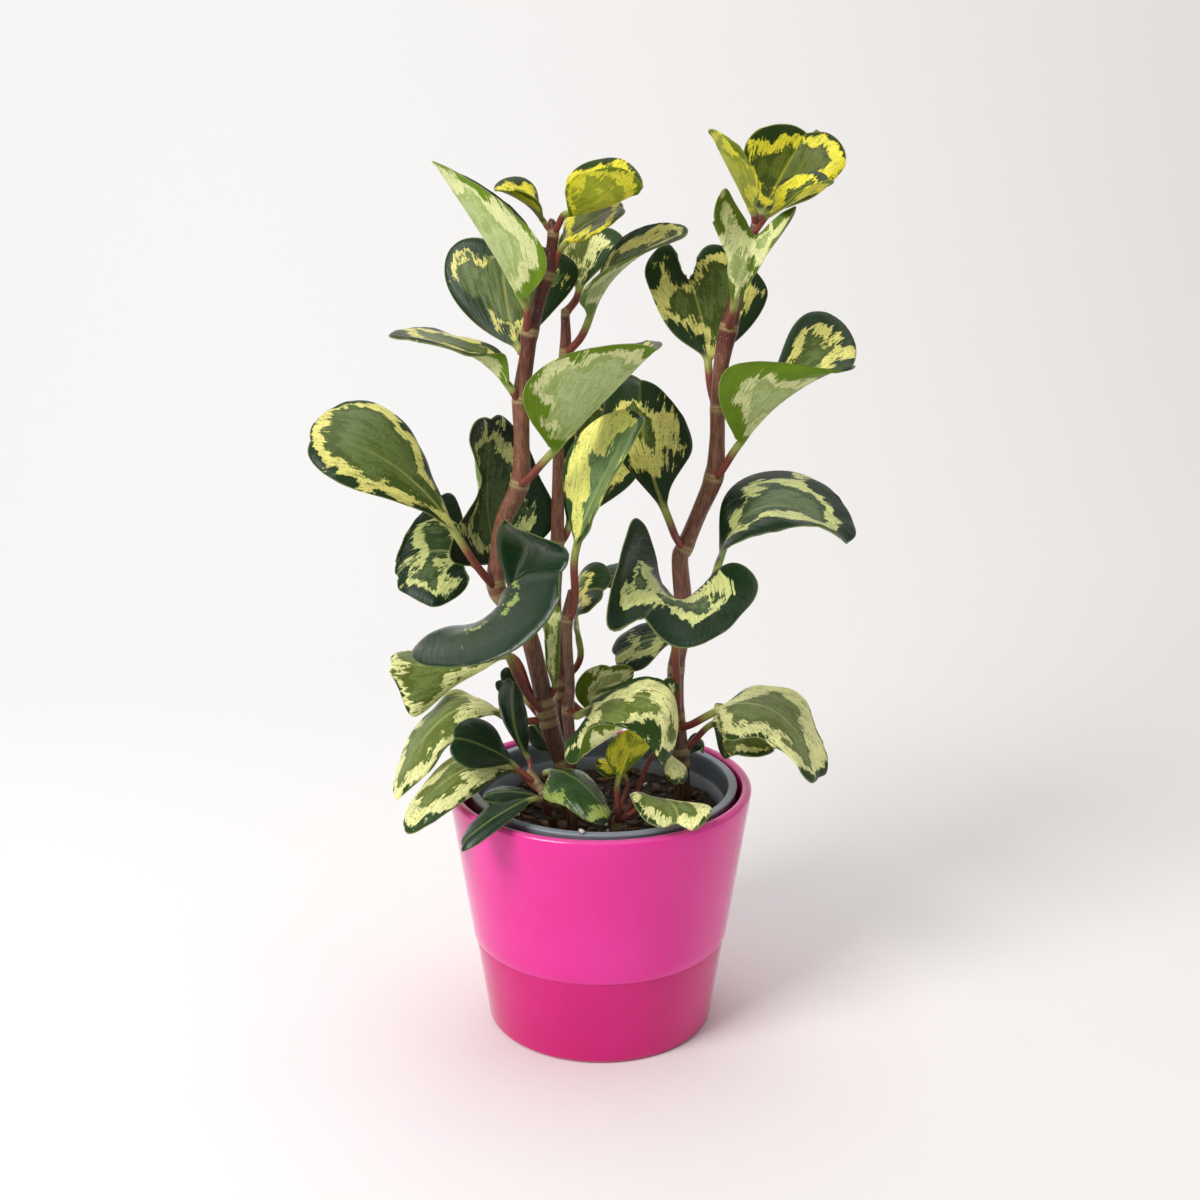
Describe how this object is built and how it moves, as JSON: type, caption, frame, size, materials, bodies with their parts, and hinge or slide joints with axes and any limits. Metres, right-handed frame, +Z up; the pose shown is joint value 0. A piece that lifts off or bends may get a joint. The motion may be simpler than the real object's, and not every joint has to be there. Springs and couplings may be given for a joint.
{
  "type": "variegated baby rubber plant in a glazed pot",
  "caption": "Potted foliage plant with round, marbled cream and green leaves on bare brown stems, standing in a tapered glazed pot.",
  "frame": {"origin": "centre of the pot's flat underside", "axes": "+Z up along the pot's axis, -Y towards the side shown in the picture, +X to that view's right"},
  "size_m": [0.2283, 0.1365, 0.3937],
  "materials": {
    "pot_glaze": "glossy pink-magenta glaze",
    "liner_plastic": "grey moulded plastic",
    "soil": "dark crumbly potting mix with bark chips",
    "stem_bark": "red-brown smooth bark with tan joints",
    "leaf_variegated": "waxy dark green with a feathered cream band",
    "leaf_dark": "glossy dark green",
    "leaf_young": "waxy yellow cream with green streaks",
    "leaf_underside": "matt pale sage underside"
  },
  "bodies": {
    "root": {"leaf_back_stem_middle": "leaf_variegated", "leaf_back_stem_tip": "leaf_underside", "leaf_back_stem_top": "leaf_variegated", "leaf_base_back_dark": "leaf_dark", "leaf_base_back_right": "leaf_dark", "leaf_base_centre_tiny": "leaf_young", "leaf_base_centre_young": "leaf_young", "leaf_base_drooping": "leaf_underside", "leaf_base_front_dark": "leaf_dark", "leaf_base_front_left": "leaf_dark", "leaf_base_front_right": "leaf_young", "leaf_base_front_small": "leaf_dark", "leaf_base_left_bud": "leaf_dark", "leaf_base_left_dark": "leaf_dark", "leaf_base_left_hanging": "leaf_underside", "leaf_base_left_upright": "leaf_dark", "leaf_base_middle_folded": "leaf_underside", "leaf_base_middle_pale": "leaf_underside", "leaf_base_right_large": "leaf_underside", "leaf_base_right_under": "leaf_underside", "leaf_base_rim_left": "leaf_underside", "leaf_base_stem_young": "leaf_underside", "leaf_crown_back": "leaf_variegated", "leaf_crown_inner": "leaf_young", "leaf_crown_left_large": "leaf_variegated", "leaf_crown_left_small": "leaf_young", "leaf_crown_middle": "leaf_young", "leaf_front_saddle": "leaf_dark", "leaf_inner_edge_on": "leaf_underside", "leaf_left_hanging": "leaf_variegated", "leaf_left_round": "leaf_variegated", "leaf_left_upright": "leaf_variegated", "leaf_left_wide": "leaf_variegated", "leaf_middle_right_flat": "leaf_variegated", "leaf_middle_yellow": "leaf_variegated", "leaf_right_back": "leaf_variegated", "leaf_right_crown_front": "leaf_underside", "leaf_right_crown_left": "leaf_young", "leaf_right_crown_right": "leaf_young", "leaf_right_crown_small": "leaf_young", "leaf_right_dark": "leaf_dark", "leaf_right_inner": "leaf_variegated", "leaf_right_lower": "leaf_variegated", "leaf_right_saddle": "leaf_variegated", "leaf_right_upper": "leaf_variegated", "leaf_thin_stem_top": "leaf_young", "leaf_upper_front": "leaf_variegated", "leaf_upper_left": "leaf_variegated", "liner": "liner_plastic", "pot": "pot_glaze", "shoot_front": "stem_bark", "shoot_left": "stem_bark", "soil": "soil", "stem_back": "stem_bark", "stem_left": "stem_bark", "stem_right": "stem_bark", "stem_thin": "stem_bark"}
  },
  "joints": []
}
